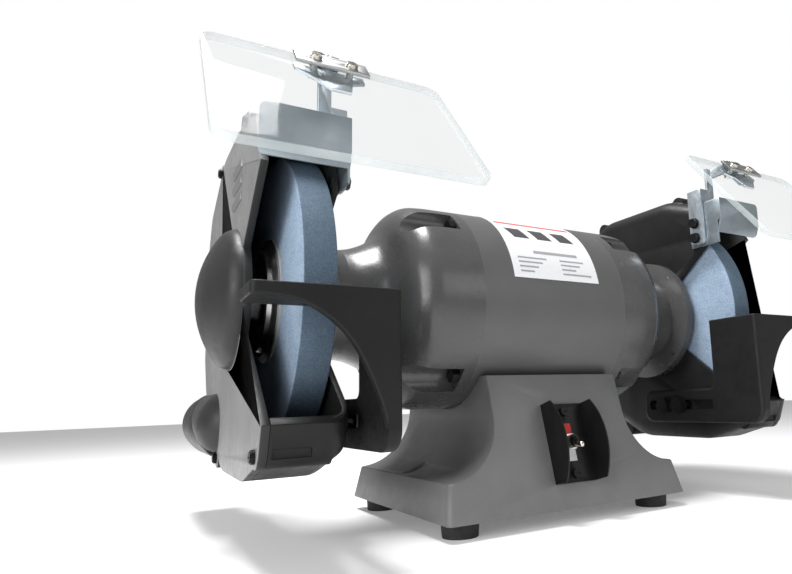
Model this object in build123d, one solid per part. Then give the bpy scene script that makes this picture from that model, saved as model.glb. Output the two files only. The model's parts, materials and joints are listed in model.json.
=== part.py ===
from build123d import *
import math
import os

# Bench grinder for 10 inch wheels.
# Frame: millimetres, +X along the spindle, the operator stands at -Y, +Z up,
# origin on the bench under the middle of the machine.
# Everything outboard is drawn on the +X side and mirrored for the left side.

# Spindle and wheels
SHAFT_Z = 206.8            # height of the spindle axis above the bench
WHEEL_R = 127.0            # 10 inch wheel
WHEEL_T = 25.4             # 1 inch thick
WHEEL_X = 239.2            # middle of a wheel
ARBOR_R = 11.05            # 7/8 inch arbor
BORE_CLEAR = 0.05
BLOTTER_R = 50.0
BLOTTER_T = 0.8
FLANGE_R = 55.0
FLANGE_T = 6.2
SHOULDER_X = 215.5         # shaft shoulder that the inner flange seats on
NUT_T = 14.0
NUT_AF = 33.0
ARBOR_END_X = 288.0
WHEEL_IN_X = WHEEL_X - WHEEL_T / 2
WHEEL_OUT_X = WHEEL_X + WHEEL_T / 2

# Motor
BARREL_R = 101.0
BARREL_BORE = 88.0
BARREL_HALF = 84.0
NAMEPLATE_HALF = 51.0
NAMEPLATE_ANGLES = (11.0, 78.0)   # above horizontal on the operator's side
NECK_R = 52.0
NECK_FLANGE_R = 73.0
BELL_FACE_X = 218.5        # outer face of the bell, where the guard seats
POCKET_R = 15.0
POCKET_ANGLE = 49.0        # above and below horizontal
POCKET_PCR = 100.0
LUG_PCR = 95.0
BELL_BOLT_PCR = 93.0
POCKET_FLOOR_X = 95.0

# Bearings, 30 x 62 x 16
BEARING_BORE = 15.0
BEARING_OUT = 31.0
BEARING_X0 = 190.0
BEARING_W = 16.0
BALL_R = 4.75
BALL_PITCH_R = 23.0
BALLS = 9

# Base
BASE_Z = 13.0              # underside of the casting, on its feet
BASE_HALF_X = 135.0
BASE_HALF_Y = 117.6
BASE_DRAFT = 0.273         # inward lean of the front and back, mm per mm
BASE_TOP_Z = 135.0
LIP_X = 129.4
SCOOP_R = 52.5
SCOOP_Z = 98.0
BASE_WALL = 7.0
BASE_CORNER_R = 6.0
SADDLE_GAP = 0.2
MOUNT_X = 50.0              # screws that hold the barrel to the base
MOUNT_ANGLE = 22.0
PLATE_T = 1.5
GLAND_X = 60.0              # power inlet in the back of the base
GLAND_Z = 48.0
GLAND_R = 9.4
CAP_R = 20.0               # start capacitor inside the base
CAP_Y = 35.0
STRAP_T = 1.2
CAP_Z = BASE_Z + PLATE_T + CAP_R + STRAP_T
SLOT_X = 112.0             # bench slots
SLOT_LENGTH = 24.0
SLOT_R = 6.0
FOOT_X = 110.8
FOOT_Y = 91.0
FOOT_R = 16.5

# Wheel guard, drawn as (forward of the shaft, above the shaft)
GUARD_IN_X = 218.5
GUARD_WALL = 5.0
COVER_X = 275.0
COVER_T = 6.5
RIM_T = 6.0
GUARD_OUTLINE = [(114, 87), (92, 131), (40, 150), (-75, 152), (-160, 116), (-178, 80),
                 (-178, -40), (-157, -77), (-35, -147), (73, -148), (131, -131), (140, -106)]
GUARD_CORNERS = [3, 3, 60, 60, 26, 26, 26, 30, 70, 50, 12, 3]
MOUTH_LOW = (140, -106)
MOUTH_HIGH = (114, 87)
MOUTH_VERTEX = (2, 0)
COVER_LOBES = [(121, -127), (-62, -138), (-172, 20), (-90, 145), (52, 143)]
LOBE_R = 9.0
SCREW_SPOT_R = 5.8          # room for a screw head where the outlet bulges over it
INNER_EDGE_R = 17.0         # rounded edge of the housing on the motor side
REST_BOSS_R = 10.0
GUARD_HOLE_R = 58.0
GUARD_SCREW_R = 65.5
DOME_R = 61.0
DOME_H = 28.5
DOME_T = 4.5
DOME_SHOULDER = 16.0
DOME_SINK = 1.5            # the dome's curve starts this far below the cover's face

# Dust outlet, 2-1/2 inch hose
PORT_R = 34.0
PORT_BORE_R = 28.25
SPIGOT_R = 31.75
SPIGOT_LENGTH = 50.0
PORT_X = 265.0
PORT_Z = 98.0
PORT_NOSE_Y = 40.0
PORT_END_Y = 231.0

# Tool rest
REST_FRONT_Y = -174.0
REST_BACK_Y = -131.0
REST_TOP_Z = 192.0
REST_TIP_X = 296.0
REST_X = 195.0
REST_PLATE = 9.0
REST_APRON = 8.0
REST_SIDE_T = 11.0
REST_LOW_Z = 79.0
REST_POST_Y = -113.0        # back of the side plate
REST_END_Y = -6.0           # back end of the slotted arm
REST_ARM_Z = 117.0          # top of the slotted arm
APRON_CURVE = [(213, 120), (224, 144), (240, 165), (262, 179)]
REST_TIP_R = 4.0
REST_POST_R = 7.0
REST_END_R = 12.0
REST_FRONT_R = 16.0
CAST_EDGE = 1.5
EDGE_TOL = 0.05
REST_SLOT_Z = 99.5
REST_SLOT_R = 5.5
REST_SLOT_Y = (-111.0, -15.0)
REST_BOLTS_Y = (-64.0, -42.0)
REST_BOLT_R = 5.0

# Spark deflector and shield arm
DEFLECTOR_Y = -125.0
DEFLECTOR_T = 2.0
DEFLECTOR_X = 285.0
DEFLECTOR_TOP_Z = 335.0
DEFLECTOR_BEND_Z = 309.0
DEFLECTOR_LIP = 14.0
DEFLECTOR_FLANGE_Z = 283.0   # lower end of its side flange
BRACKET_Y = -92.0
BRACKET_SCREWS_Z = (294.0, 312.0)
BRACKET_SCREW_R = 3.0
LAYER_GAP = 0.3
ARM_T = 3.0
FOLD_R = 5.0                # rounded corners of the bent sheet parts

# Eye shield
SHIELD_X = (150.0, 327.0)
SHIELD_TOP = (-140.0, 370.0)     # upper front edge, y and z
SHIELD_LOW = (-231.0, 260.0)     # lower front edge
SHIELD_T = 6.0
PIVOT_Y = -130.0
PIVOT_Z = 374.0
PIVOT_R = 3.0
EAR_R = 6.5
KNOB_R = 6.6
KNOB_LENGTH = 9.0
ARM_TOP_Z = 379.0
ARM_BAR_X = 226.0           # inner side of the arm's upright bar
ARM_WEB_Z = (336.0, 352.0)  # crosses just above the deflector's side flange
ARM_LOW_Z = 322.0           # lowest point of the arm outboard of the guard's wall
ARM_Y = -104.0              # front of the arm's web
ARM_FOOT_Z = 285.0
STRIP_X = (210.0, 265.0)
STRIP_SCREWS_X = (223.0, 250.0)
EAR_X = 237.2
EAR_T = 3.0

# Switch, on the sloping front of the base
SWITCH_Z = 70.5
SWITCH_W = 48.0
SWITCH_H = 73.6
SWITCH_T = 1.6
EAR_DEPTH = 29.0
PLATE_SCREW_V = 29.0        # screws above and below the toggle
BUSH_R = 6.0
TOGGLE_PIVOT = -2.5         # depth of the lever's pivot below the base's face
TOGGLE_REST = -15.0


def block(x0, x1, y0, y1, z0, z1):
    """Box between two corners."""
    size = Box(x1 - x0, y1 - y0, z1 - z0)
    return Pos((x0 + x1) / 2, (y0 + y1) / 2, (z0 + z1) / 2) * size


def rod_x(r, x0, x1, y=0.0, z=SHAFT_Z):
    """Cylinder along X."""
    return Pos((x0 + x1) / 2, y, z) * Rot(0, 90, 0) * Cylinder(r, x1 - x0)


def rod_y(r, y0, y1, x, z):
    """Cylinder along Y."""
    return Pos(x, (y0 + y1) / 2, z) * Rot(90, 0, 0) * Cylinder(r, y1 - y0)


def rod_z(r, z0, z1, x, y):
    """Cylinder along Z."""
    return Pos(x, y, (z0 + z1) / 2) * Cylinder(r, z1 - z0)


def ring_x(r_out, r_in, x0, x1):
    """Ring about the spindle axis."""
    return rod_x(r_out, x0, x1) - rod_x(r_in, x0 - 1, x1 + 1)


def hex_x(across, x0, x1, y=0.0, z=SHAFT_Z):
    """Hexagon bar along X."""
    section = Plane.YZ * RegularPolygon(across / 2, 6, major_radius=False)
    return Pos(x0, y, z) * extrude(section, x1 - x0)


def turned(points):
    """Solid of revolution about the spindle axis, from (x, radius) points."""
    face = make_face(Polyline(*points, close=True))
    return Pos(0, 0, SHAFT_Z) * revolve(face, Axis.X, 360)


def slab_x(points, x0, x1):
    """Plate across X, from (y, z) points."""
    face = make_face(Polyline(*[(0, y, z) for y, z in points], close=True))
    return Pos(x0, 0, 0) * extrude(face, x1 - x0, dir=(1, 0, 0))


def slab_y(points, y0, y1):
    """Plate across Y, from (x, z) points."""
    face = make_face(Polyline(*[(x, 0, z) for x, z in points], close=True))
    return Pos(0, y0, 0) * extrude(face, y1 - y0, dir=(0, 1, 0))


def around(shape, angle):
    """Turn a shape about the spindle axis."""
    return Pos(0, 0, SHAFT_Z) * Rot(angle, 0, 0) * Pos(0, 0, -SHAFT_Z) * shape


def flip(shape):
    """Left-hand copy."""
    return mirror(shape, about=Plane.YZ)


def guard_yz(points):
    """Guard points, (forward, above the shaft), as (y, z)."""
    return [(-u, SHAFT_Z + w) for u, w in points]


def group(shapes):
    """Several separate solids in one node."""
    return Compound(children=[s for shape in shapes for s in shape.solids()])


# ---------------------------------------------------------------- base

def scoop_profile(inset):
    """End profile of the base, (x, z), from the bottom middle round to the top middle."""
    lip_x = LIP_X - inset
    radius = SCOOP_R + inset
    side_x = LIP_X - radius
    start_x = BASE_HALF_X - inset
    lip_z = SCOOP_Z - math.sqrt(radius ** 2 - inset ** 2)
    with BuildSketch(Plane.XZ) as profile:
        with BuildLine():
            mid = 225.0 - math.degrees(math.asin(inset / radius)) / 2
            arc_mid = (LIP_X + radius * math.cos(math.radians(mid)),
                       SCOOP_Z + radius * math.sin(math.radians(mid)))
            Polyline((0, BASE_Z), (start_x, BASE_Z), (lip_x, lip_z))
            ThreePointArc((lip_x, lip_z), arc_mid, (side_x, SCOOP_Z))
            Polyline((side_x, SCOOP_Z), (side_x, BASE_TOP_Z), (0, BASE_TOP_Z), (0, BASE_Z))
        make_face()
    return profile.sketch


def base_body(inset):
    """Solid of the base, moved in from every side by inset."""
    half = extrude(scoop_profile(inset), 150, both=True)
    ends = half + flip(half)
    foot_y = BASE_HALF_Y - inset
    top_y = foot_y - BASE_DRAFT * (BASE_TOP_Z - BASE_Z)
    ends_y = [(-foot_y, BASE_Z), (foot_y, BASE_Z), (top_y, BASE_TOP_Z), (-top_y, BASE_TOP_Z)]
    sides = slab_x(ends_y, -160, 160)
    return ends & sides


def slot_column(grow, z0, z1):
    """Upright slotted column for a bench bolt, on the +X side."""
    straight = SLOT_LENGTH / 2 - SLOT_R
    r = SLOT_R + grow
    shape = block(SLOT_X - straight, SLOT_X + straight, -r, r, z0, z1)
    for x in (SLOT_X - straight, SLOT_X + straight):
        shape += rod_z(r, z0, z1, x, 0)
    return shape


def motor_mounts(r, z0, z1):
    """Four rods through the saddle, square to the barrel."""
    rods = []
    for x in (-MOUNT_X, MOUNT_X):
        for angle in (-MOUNT_ANGLE, MOUNT_ANGLE):
            rods.append(around(rod_z(r, z0, z1, x, 0), angle))
    return rods


def base_casting():
    body = base_body(0)
    uprights = body.edges().filter_by(lambda e: e.length > 25 and abs(e.tangent_at(0.5).Z) > 0.9
                                      and abs(e.center().X) > 125)
    body = fillet(uprights, BASE_CORNER_R)
    saddle = rod_x(BARREL_R + SADDLE_GAP, -200, 200)
    inner = base_body(BASE_WALL) - rod_x(BARREL_R + SADDLE_GAP + BASE_WALL + 1, -200, 200)
    body = body - saddle - inner
    inside = base_body(2.0) - saddle
    columns = slot_column(7.0, BASE_Z, 70)
    bosses = [columns, flip(columns)]
    for x, y in corner_places():
        bosses.append(rod_z(13, BASE_Z + PLATE_T, 40, x, y))
    bosses += motor_mounts(11, SHAFT_Z - 118, SHAFT_Z - 100)
    for boss in bosses:
        body += boss & inside
    slot = slot_column(0, 0, 90)
    body = body - slot - flip(slot)
    for x, y in corner_places():
        body -= rod_z(3.0, BASE_Z, 34, x, y)
    for hole in motor_mounts(4.5, SHAFT_Z - 130, SHAFT_Z - 95):
        body -= hole
    body -= rod_z(12, 90, 120, 0, 0)
    body -= rod_y(GLAND_R + 0.1, 80, 125, GLAND_X, GLAND_Z)
    body -= switch_place() * Box(30, 40, 30)
    for v in (-PLATE_SCREW_V, PLATE_SCREW_V):
        body -= switch_place() * Pos(0, v, -5) * Cylinder(1.8, 20)
    return body


def bottom_plate():
    half_x = BASE_HALF_X - 8
    half_y = BASE_HALF_Y - 8
    plate = block(-half_x, half_x, -half_y, half_y, BASE_Z, BASE_Z + PLATE_T)
    plate -= base_ring()
    for side in (-1, 1):
        notch = slot_column(8.0, 0, 30)
        cut = notch + block(SLOT_X, 140, -14, 14, 0, 30)
        plate -= cut if side > 0 else flip(cut)
    for x, y in corner_places():
        plate -= rod_z(3.4, 0, 30, x, y)
    for x in range(-60, 61, 20):
        plate -= block(x - 3, x + 3, -30, 30, 0, 30)
    return plate


def base_ring():
    """Room for the casting's walls at the level of the bottom plate."""
    outer = block(-160, 160, -140, 140, BASE_Z - 1, BASE_Z + PLATE_T + 1)
    gap = BASE_WALL + 1.0
    return outer - block(-BASE_HALF_X + gap, BASE_HALF_X - gap, -BASE_HALF_Y + gap, BASE_HALF_Y - gap, 0, 40)


def corner_places():
    return [(x, y) for x in (-FOOT_X, FOOT_X) for y in (-FOOT_Y, FOOT_Y)]


def rubber_feet():
    feet = []
    for x, y in corner_places():
        foot = Pos(x, y, BASE_Z / 2) * Cone(FOOT_R - 1, FOOT_R, BASE_Z)
        foot -= rod_z(8.0, -1, 8, x, y)
        foot -= rod_z(3.2, -1, 20, x, y)
        feet.append(foot)
    return group(feet)


def foot_screws():
    return group([rod_z(6.5, 3.5, 8, x, y) + rod_z(2.95, 6, 33, x, y) for x, y in corner_places()])


def motor_mount_screws():
    screws = []
    z = SHAFT_Z - BARREL_R
    for head, shank in zip(motor_mounts(6.5, z - 25.0, z - 17.0), motor_mounts(3.95, z - 20, z + 9)):
        screws.append(head + shank)
    return group(screws)


# ---------------------------------------------------------------- motor

def bell_places(radius):
    """(y, z) of the four bell bolts, at this distance from the spindle."""
    places = []
    for angle in (POCKET_ANGLE, 180 - POCKET_ANGLE, -POCKET_ANGLE, 180 + POCKET_ANGLE):
        a = math.radians(angle)
        places.append((radius * math.cos(a), SHAFT_Z + radius * math.sin(a)))
    return places


def motor_barrel():
    barrel = ring_x(BARREL_R, BARREL_BORE, -BARREL_HALF, BARREL_HALF)
    for hole in motor_mounts(4.0, SHAFT_Z - 110, SHAFT_Z - 91):
        barrel -= hole
    barrel -= rod_z(10, 90, 130, 0, 0)
    for x0 in (-BARREL_HALF, BARREL_HALF - 24):
        for y, z in bell_places(BELL_BOLT_PCR):
            barrel -= rod_x(3.4, x0 - 1, x0 + 25, y, z)
    return barrel


BELL_OUTER = [(116, 100.8), (120, 100.6), (127, 100.0), (133, 98.2), (138, 95.2), (142, 92.0), (145, 88.6),
              (148.5, 83.8), (151, 79), (155.5, 70.0), (160, 64.8), (166, 60.6), (177, 55.6), (192, NECK_R)]


def end_bell():
    """Right-hand end bell: shell, bearing seat, neck and guard flange."""
    with BuildSketch(Plane.XY) as section:
        with BuildLine():
            Polyline((BARREL_HALF, BARREL_BORE + 4), (BARREL_HALF, BARREL_R), (112, BARREL_R))
            Spline((112, BARREL_R), *BELL_OUTER[1:], tangents=[(1, 0), (1, -0.12)])
            Polyline(BELL_OUTER[-1], (206, NECK_R), (209, NECK_FLANGE_R), (BELL_FACE_X, NECK_FLANGE_R),
                     (BELL_FACE_X, 57), (214.5, 57), (214.5, 16.5), (BEARING_X0 + BEARING_W, 16.5),
                     (BEARING_X0 + BEARING_W, BEARING_OUT + 0.02), (BEARING_X0 - 2, BEARING_OUT + 0.02),
                     (BEARING_X0 - 2, 43), (176, 46), (164, 52), (152, 62), (144, 76), (138, 85),
                     (128, 90.5), (100, 90.5), (BARREL_HALF, BARREL_BORE + 4))
        make_face()
    bell = Pos(0, 0, SHAFT_Z) * revolve(section.sketch, Axis.X, 360)
    bell += ring_x(BARREL_BORE + 3, 80, BARREL_HALF, BARREL_HALF + 12)
    bell += ring_x(BARREL_BORE - 0.1, 80, BARREL_HALF - 5, BARREL_HALF + 1)
    for y, z in bell_places(LUG_PCR):
        lug = rod_x(POCKET_R + 5, BARREL_HALF, 150, y, z)
        lug &= turned([(BARREL_HALF, 66), (BARREL_HALF, 98), (126, 98), (142, 86), (150, 72), (150, 66)])
        bell += lug
    for y, z in bell_places(POCKET_PCR):
        bell -= rod_x(POCKET_R, POCKET_FLOOR_X, 165, y, z)
    for y, z in bell_places(BELL_BOLT_PCR):
        bell -= rod_x(4.2, 80, 100, y, z)
    for hole in guard_screw_rods(2.95, 208.0, 220.0):
        bell -= hole
    return bell


def bell_bolts():
    bolts = []
    for y, z in bell_places(BELL_BOLT_PCR):
        bolt = hex_x(13, POCKET_FLOOR_X + 1.6, POCKET_FLOOR_X + 7, y, z)
        bolt += rod_x(7.2, POCKET_FLOOR_X, POCKET_FLOOR_X + 1.6, y, z)
        bolt += rod_x(3.35, BARREL_HALF - 20, POCKET_FLOOR_X + 2, y, z)
        bolts += [bolt, flip(bolt)]
    return group(bolts)


def stator_core():
    core = ring_x(BARREL_BORE - 0.05, 50.6, -35, 35)
    slot = block(-40, 40, -3, 3, SHAFT_Z + 52.5, SHAFT_Z + 70)
    mouth = block(-40, 40, -1.2, 1.2, SHAFT_Z + 48, SHAFT_Z + 54)
    for i in range(24):
        core -= around(slot + mouth, i * 15)
    return core


def stator_windings():
    """End turns on both faces of the stator, joined by the coil sides in the slots."""
    windings = turned([(35.2, 56), (35.2, 74), (44, 79), (56, 76), (60, 68), (57, 59), (46, 55)])
    windings += flip(windings)
    side = block(-36, 36, -2.7, 2.7, SHAFT_Z + 56.3, SHAFT_Z + 69.5)
    for i in range(24):
        windings += around(side, i * 15)
    return windings


def nameplate():
    """Thin curved plate on the front of the barrel."""
    band = ring_x(BARREL_R + 0.35, BARREL_R + 0.02, -NAMEPLATE_HALF, NAMEPLATE_HALF)
    low, high = NAMEPLATE_ANGLES
    reach = BARREL_R + 12
    wedge = []
    for i in range(5):
        a = math.radians(low + (high - low) * i / 4)
        wedge.append((-reach * math.cos(a), SHAFT_Z + reach * math.sin(a)))
    wedge.append((0.0, SHAFT_Z))
    return band & slab_x(wedge, -60, 60)


def capacitor():
    """Start capacitor lying on the bottom plate, with two terminal tabs."""
    can = rod_x(CAP_R, -45, 42, CAP_Y, CAP_Z)
    can += rod_x(CAP_R - 4, 42, 46, CAP_Y, CAP_Z)
    for y in (CAP_Y - 6, CAP_Y + 6):
        can += block(46, 53, y - 3, y + 3, CAP_Z - 0.5, CAP_Z + 0.5)
    return can


def capacitor_strap():
    """Sheet strap over the capacitor, with one foot on the bottom plate."""
    floor = BASE_Z + PLATE_T
    room = rod_x(CAP_R + 0.05, -9, 9, CAP_Y, CAP_Z)
    strap = rod_x(CAP_R + STRAP_T, -8, 8, CAP_Y, CAP_Z) - room
    strap -= block(-9, 9, 10, 60, 0, floor + 0.01)
    strap += block(-8, 8, CAP_Y + CAP_R, CAP_Y + 34, floor, floor + STRAP_T) - room
    strap += block(-8, 8, CAP_Y + CAP_R + 0.05, CAP_Y + CAP_R + STRAP_T, floor, CAP_Z)
    return strap


def start_switch_plate():
    """Fixed contact plate, held in the right-hand bell behind the stator."""
    plate = ring_x(74.5, 44, 86, 88.5) - block(80, 95, -30, 30, SHAFT_Z + 62, SHAFT_Z + 90)
    for y in (-16, 16):
        plate += block(88.5, 93, y - 5, y + 5, SHAFT_Z - 66, SHAFT_Z - 52)
    return plate


def power_gland():
    """Inlet gland with its collar, dome nut and inner lock nut."""
    gland = rod_y(GLAND_R, 92, 113, GLAND_X, GLAND_Z)
    for y, half in ((116, 4), (93, 2.5)):
        nut = extrude(RegularPolygon(13, 6), half, both=True)
        gland += Pos(GLAND_X, y, GLAND_Z) * Rot(90, 0, 0) * nut
    gland += rod_y(11.0, 120, 127, GLAND_X, GLAND_Z)
    gland -= rod_y(4.5, 80, 140, GLAND_X, GLAND_Z)
    return gland


# ---------------------------------------------------------------- switch

def switch_place():
    """Local frame on the front of the base: X across, Y up the slope, Z outward."""
    lean = math.atan(BASE_DRAFT)
    y = -(BASE_HALF_Y - BASE_DRAFT * (SWITCH_Z - BASE_Z))
    outward = (0, -math.cos(lean), math.sin(lean))
    return Plane(origin=(0, y, SWITCH_Z), x_dir=(1, 0, 0), z_dir=outward).location


def switch_guard_plate():
    half = SWITCH_H / 2
    plate = Pos(0, 0, SWITCH_T / 2 + 0.05) * Box(SWITCH_W, SWITCH_H, SWITCH_T)
    with BuildSketch(Plane.YZ) as side:
        with BuildLine():
            Polyline((-half, 17), (-half, 0.05), (half, 0.05), (half, 16))
            ThreePointArc((half, 16), (4, EAR_DEPTH), (-half, 17))
        make_face()
    ear = extrude(side.sketch, SWITCH_T)
    plate += Pos(SWITCH_W / 2 - SWITCH_T, 0, 0) * ear
    plate += Pos(-SWITCH_W / 2, 0, 0) * ear
    plate -= Cylinder(BUSH_R + 0.2, 20)
    for v in (-PLATE_SCREW_V, PLATE_SCREW_V):
        plate -= Pos(0, v, 0) * Cylinder(2.2, 20)
    return switch_place() * plate


def switch_body():
    """Toggle switch case behind the plate, with its threaded bushing and terminals."""
    case = Pos(0, 0, -13) * Box(20, 33, 25)
    case += Pos(0, 0, 4) * Cylinder(BUSH_R, 9.4)
    for v in (-11, 0, 11):
        case += Pos(0, v, -28) * Box(6, 1.0, 8)
    case -= Pos(0, 0, 3) * Cone(2.8, 5.5, 12)
    case -= Pos(0, 0, TOGGLE_PIVOT) * Sphere(4.2)
    return switch_place() * case


def switch_legend():
    """Small tabbed plate under the nut, marking the two positions."""
    tab = Pos(0, 0, SWITCH_T + 0.35) * Cylinder(9.0, 0.5)
    tab += Pos(0, 12.5, SWITCH_T + 0.35) * Box(9, 10, 0.5)
    tab += Pos(0, -12.5, SWITCH_T + 0.35) * Box(9, 10, 0.5)
    tab -= Cylinder(BUSH_R + 0.05, 30)
    return switch_place() * tab


def switch_nut():
    z0 = SWITCH_T + 0.62
    nut = Pos(0, 0, z0) * extrude(RegularPolygon(8.2, 6), 2.4)
    nut -= Cylinder(BUSH_R + 0.02, 30)
    return switch_place() * nut


def switch_toggle():
    """Bat lever, resting in its lower position."""
    lever = Pos(0, 0, TOGGLE_PIVOT) * Sphere(3.8)
    lever += Pos(0, 0, 8.5) * Cone(1.6, 2.6, 22)
    lever += Pos(0, 0, 19.5) * Sphere(2.9)
    turn = Pos(0, 0, TOGGLE_PIVOT) * Rot(-TOGGLE_REST, 0, 0) * Pos(0, 0, -TOGGLE_PIVOT)
    return switch_place() * turn * lever


def switch_plate_screws():
    screws = []
    for v in (-PLATE_SCREW_V, PLATE_SCREW_V):
        head = Pos(0, v, SWITCH_T + 1.25) * Cylinder(3.9, 2.2)
        shank = Pos(0, v, -3) * Cylinder(1.75, 9.5)
        slot = Pos(0, v, SWITCH_T + 2.2) * Box(6.5, 1.0, 1.2)
        screws.append(switch_place() * (head + shank - slot))
    return group(screws)


# ---------------------------------------------------------------- spindle

def spindle_shaft():
    profile = [(0, 17.5), (60, 17.5), (60, 16.8), (188, 16.8), (188, 18.5), (BEARING_X0 - 0.05, 18.5),
               (BEARING_X0 - 0.05, BEARING_BORE - 0.01), (BEARING_X0 + BEARING_W, BEARING_BORE - 0.01),
               (BEARING_X0 + BEARING_W, 14.0), (SHOULDER_X - 0.05, 14.0), (SHOULDER_X - 0.05, ARBOR_R),
               (ARBOR_END_X - 1.5, ARBOR_R), (ARBOR_END_X, ARBOR_R - 1.5), (ARBOR_END_X, 0), (0, 0)]
    half = turned(profile)
    return half + flip(half)


def rotor_core():
    """Laminated core, cast end rings and their fan blades."""
    rotor = rod_x(50.0, -35, 35)
    for side in (-1, 1):
        end = ring_x(47, 26, 35, 43)
        for i in range(8):
            end += around(block(43, 54, -2, 2, SHAFT_Z + 36, SHAFT_Z + 46), i * 45)
        rotor += end if side > 0 else flip(end)
    return rotor - rod_x(17.55, -60, 60)


def start_switch_governor():
    """Sleeve with two fly weights that opens the start switch."""
    governor = ring_x(24, 16.85, 66, 84)
    governor += ring_x(38, 16.85, 81, 84)
    for side in (-1, 1):
        governor += around(block(66, 80, -9, 9, SHAFT_Z + 22, SHAFT_Z + 36), 90 * side)
    return governor


def ball_track():
    return Pos(BEARING_X0 + BEARING_W / 2, 0, SHAFT_Z) * Rot(0, 90, 0) * Torus(BALL_PITCH_R, BALL_R + 0.06)


def bearing_outer():
    x0 = BEARING_X0
    ring = ring_x(BEARING_OUT, 26.6, x0, x0 + BEARING_W) - ball_track()
    return group([ring, flip(ring)])


def bearing_inner():
    x0 = BEARING_X0
    ring = ring_x(19.4, BEARING_BORE, x0, x0 + BEARING_W) - ball_track()
    return group([ring, flip(ring)])


def bearing_balls():
    balls = []
    for i in range(BALLS):
        ball = Pos(BEARING_X0 + BEARING_W / 2, 0, SHAFT_Z + BALL_PITCH_R) * Sphere(BALL_R)
        ball = around(ball, i * 360 / BALLS)
        balls += [ball, flip(ball)]
    return group(balls)


def bearing_wave_washer():
    """Preload washer, inboard of the right-hand bearing."""
    return ring_x(30.6, 26.8, BEARING_X0 - 1.3, BEARING_X0 - 0.1)


def grinding_wheel():
    bore = ARBOR_R + BORE_CLEAR
    corner = 0.8
    return turned([(WHEEL_IN_X, bore), (WHEEL_IN_X, WHEEL_R - corner), (WHEEL_IN_X + corner, WHEEL_R),
                   (WHEEL_OUT_X - corner, WHEEL_R), (WHEEL_OUT_X, WHEEL_R - corner), (WHEEL_OUT_X, bore)])


def wheel_blotters():
    inner = ring_x(BLOTTER_R + 6, 16, WHEEL_IN_X - BLOTTER_T, WHEEL_IN_X)
    outer = ring_x(BLOTTER_R + 6, 16, WHEEL_OUT_X, WHEEL_OUT_X + BLOTTER_T)
    return group([inner, outer, flip(inner), flip(outer)])


def inner_flange():
    seat = WHEEL_IN_X - BLOTTER_T
    return turned([(SHOULDER_X, ARBOR_R + BORE_CLEAR), (SHOULDER_X, 24), (seat - FLANGE_T, 24),
                   (seat - FLANGE_T, FLANGE_R - 1.5), (seat - FLANGE_T + 1.5, FLANGE_R), (seat, FLANGE_R),
                   (seat, 38), (seat - 1.6, 36), (seat - 1.6, ARBOR_R + BORE_CLEAR)])


def outer_flange():
    """Stepped flange with a raised land, a groove and a dished middle."""
    seat = WHEEL_OUT_X + BLOTTER_T
    return turned([(seat, 38), (seat, FLANGE_R), (seat + 1.6, FLANGE_R),
                   (seat + 4.8, 49.5), (seat + 4.8, 48.2),
                   (seat + 3.2, 47.6), (seat + 3.2, 46.4), (seat + 8.0, 45.0), (seat + 8.0, 41.5),
                   (seat + 6.0, 38.5), (seat + 6.0, 25), (seat + 8.6, 22), (seat + 8.6, ARBOR_R + BORE_CLEAR),
                   (seat + 1.6, ARBOR_R + BORE_CLEAR), (seat + 1.6, 36)])


def spindle_nuts():
    x0 = WHEEL_OUT_X + BLOTTER_T + 8.6
    nut = hex_x(NUT_AF, x0 + 0.02, x0 + NUT_T) - rod_x(ARBOR_R + 0.03, x0 - 1, x0 + NUT_T + 1)
    nut &= turned([(x0, 0), (x0, 20), (x0 + NUT_T - 2.2, 20), (x0 + NUT_T, 16.2), (x0 + NUT_T, 0)])
    return group([nut, flip(nut)])


# ---------------------------------------------------------------- guards

def guard_screw_rods(r, x0, x1):
    rods = []
    for i in range(4):
        rods.append(around(rod_x(r, x0, x1, 0, SHAFT_Z + GUARD_SCREW_R), 45 + i * 90))
    return rods


def outline_face(inset=0.0):
    """Outline of the guard in the YZ plane, without the mouth."""
    points = [(0, y, z) for y, z in guard_yz(GUARD_OUTLINE)]
    line = FilletPolyline(*points, radius=GUARD_CORNERS, close=True)
    face = make_face(line)
    if inset:
        face = offset(face, -inset, kind=Kind.INTERSECTION)
    return face


def guard_slab(inset, x0, x1):
    return Pos(x0, 0, 0) * extrude(outline_face(inset), x1 - x0, dir=(1, 0, 0))


def lobes(r, x0, x1):
    shapes = []
    for u, w in COVER_LOBES:
        shapes.append(rod_x(r, x0, x1, -u, SHAFT_Z + w))
    return shapes


def mouth(x0, x1, vertex=MOUTH_VERTEX):
    """Wedge that opens the guard towards the operator."""
    low = MOUTH_LOW
    high = MOUTH_HIGH
    reach = 1.6
    points = [vertex,
              (vertex[0] + (low[0] - vertex[0]) * reach, vertex[1] + (low[1] - vertex[1]) * reach),
              (vertex[0] + (high[0] - vertex[0]) * reach, vertex[1] + (high[1] - vertex[1]) * reach)]
    return slab_x(guard_yz(points), x0, x1)


def port_tube():
    """Dust outlet: a tube along Y with a rounded closed nose."""
    nose_y = PORT_NOSE_Y + PORT_R
    spigot_y = PORT_END_Y - SPIGOT_LENGTH
    outer = rod_y(PORT_R, nose_y, spigot_y, PORT_X, PORT_Z) + Pos(PORT_X, nose_y, PORT_Z) * Sphere(PORT_R)
    outer += rod_y(SPIGOT_R, spigot_y, PORT_END_Y, PORT_X, PORT_Z)
    return outer - port_bore()


def port_bore():
    nose_y = PORT_NOSE_Y + PORT_R
    r = PORT_BORE_R
    return rod_y(r, nose_y, PORT_END_Y + 5, PORT_X, PORT_Z) + Pos(PORT_X, nose_y, PORT_Z) * Sphere(r)


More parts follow.
